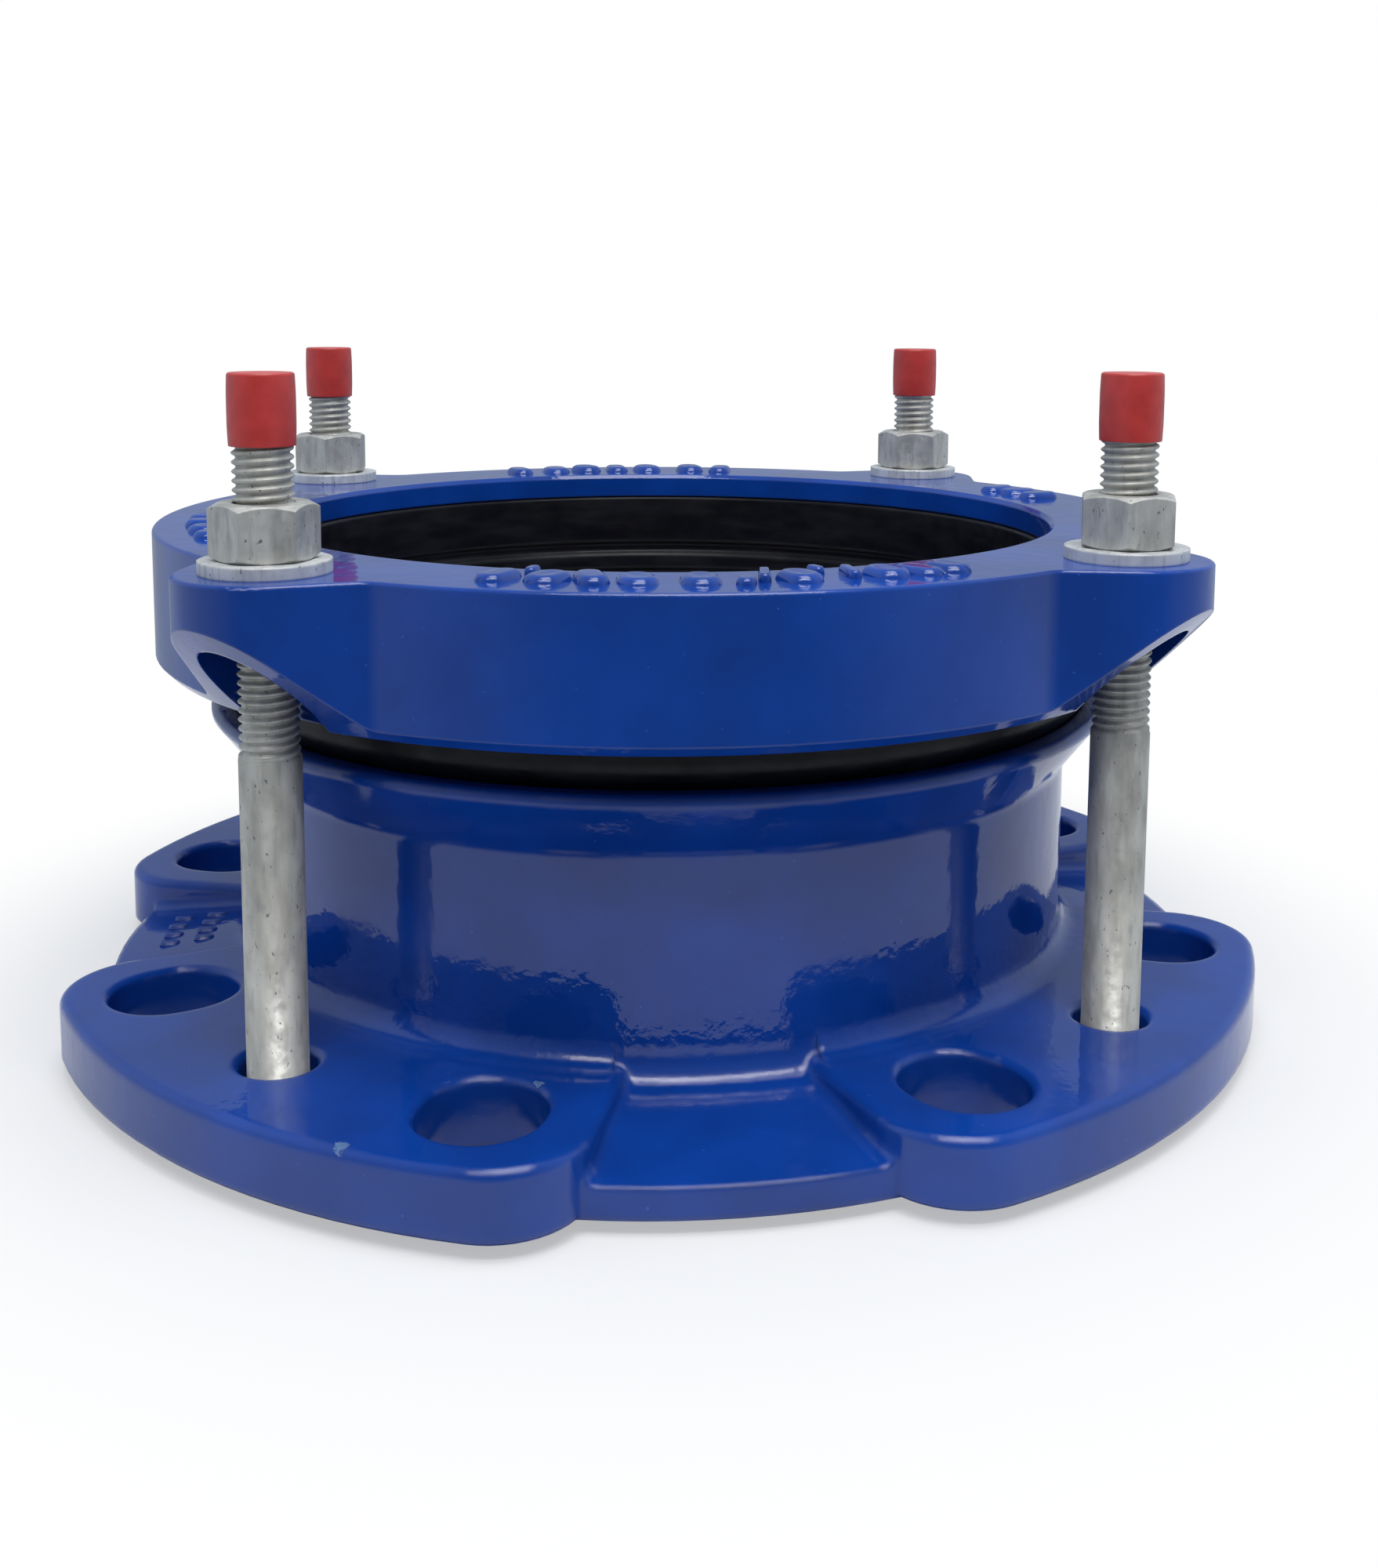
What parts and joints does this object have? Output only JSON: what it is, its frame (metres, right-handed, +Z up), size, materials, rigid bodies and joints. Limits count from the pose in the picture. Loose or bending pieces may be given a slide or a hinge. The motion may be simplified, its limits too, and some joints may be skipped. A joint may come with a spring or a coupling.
{
  "type": "universal flange adaptor",
  "caption": "Ductile iron adaptor that joins a plain-ended pipe to a flange: slotted flange, flared bell, rubber gasket and a gland ring drawn down by tie bolts.",
  "frame": {"origin": "centre of the sealing face of the flange, which is the lowest face", "axes": "+Z up the pipe axis, away from the flange; the tie bolts stand on the diagonals between +X and +Y"},
  "size_m": [0.2696, 0.2696, 0.1513],
  "materials": {
    "blue_coating": "glossy fusion bonded epoxy over a ductile iron casting",
    "gasket_rubber": "smooth black moulded rubber",
    "galvanised_steel": "dull grey hot dip galvanising with dark pits",
    "red_plastic": "soft red moulded plastic"
  },
  "bodies": {
    "flange_casting": {"adaptor_body": "blue_coating", "gasket": "gasket_rubber", "tie_bolt_back_right": "galvanised_steel", "tie_bolt_back_left": "galvanised_steel", "tie_bolt_front_left": "galvanised_steel", "tie_bolt_front_right": "galvanised_steel"},
    "gland": {"gland_ring": "blue_coating", "washer_back_right": "galvanised_steel", "washer_back_left": "galvanised_steel", "washer_front_left": "galvanised_steel", "washer_front_right": "galvanised_steel"},
    "turning_nut_back_right": {"nut_back_right": "galvanised_steel"},
    "turning_nut_back_left": {"nut_back_left": "galvanised_steel"},
    "turning_nut_front_left": {"nut_front_left": "galvanised_steel"},
    "turning_nut_front_right": {"nut_front_right": "galvanised_steel"},
    "cap_back_right": {"thread_cap_back_right": "red_plastic"},
    "cap_back_left": {"thread_cap_back_left": "red_plastic"},
    "cap_front_left": {"thread_cap_front_left": "red_plastic"},
    "cap_front_right": {"thread_cap_front_right": "red_plastic"}
  },
  "joints": [
    {"name": "gland_slide", "type": "slide", "parent": "flange_casting", "child": "gland", "axis": [0, 0, 1], "range_m": [-0.01, 0], "deforming": ["gasket"]},
    {"name": "nut_turn_back_right", "type": "hinge", "parent": "gland", "child": "turning_nut_back_right", "pos_m": [0.08503, 0.08503, 0.1216], "axis": [0, 0, 1], "range_deg": [-2058, 0]},
    {"name": "nut_turn_back_left", "type": "hinge", "parent": "gland", "child": "turning_nut_back_left", "pos_m": [-0.08503, 0.08503, 0.1216], "axis": [0, 0, 1], "range_deg": [-2058, 0]},
    {"name": "nut_turn_front_left", "type": "hinge", "parent": "gland", "child": "turning_nut_front_left", "pos_m": [-0.08503, -0.08503, 0.1216], "axis": [0, 0, 1], "range_deg": [-2058, 0]},
    {"name": "nut_turn_front_right", "type": "hinge", "parent": "gland", "child": "turning_nut_front_right", "pos_m": [0.08503, -0.08503, 0.1216], "axis": [0, 0, 1], "range_deg": [-2058, 0]},
    {"name": "cap_pull_back_right", "type": "slide", "parent": "flange_casting", "child": "cap_back_right", "axis": [0, 0, 1], "range_m": [0, 0.0125]},
    {"name": "cap_pull_back_left", "type": "slide", "parent": "flange_casting", "child": "cap_back_left", "axis": [0, 0, 1], "range_m": [0, 0.0125]},
    {"name": "cap_pull_front_left", "type": "slide", "parent": "flange_casting", "child": "cap_front_left", "axis": [0, 0, 1], "range_m": [0, 0.0125]},
    {"name": "cap_pull_front_right", "type": "slide", "parent": "flange_casting", "child": "cap_front_right", "axis": [0, 0, 1], "range_m": [0, 0.0125]}
  ],
  "couplings": [
    {"joint": "nut_turn_back_right", "follows": "gland_slide", "rad_per_m": 3590.4},
    {"joint": "nut_turn_back_left", "follows": "gland_slide", "rad_per_m": 3590.4},
    {"joint": "nut_turn_front_left", "follows": "gland_slide", "rad_per_m": 3590.4},
    {"joint": "nut_turn_front_right", "follows": "gland_slide", "rad_per_m": 3590.4}
  ]
}
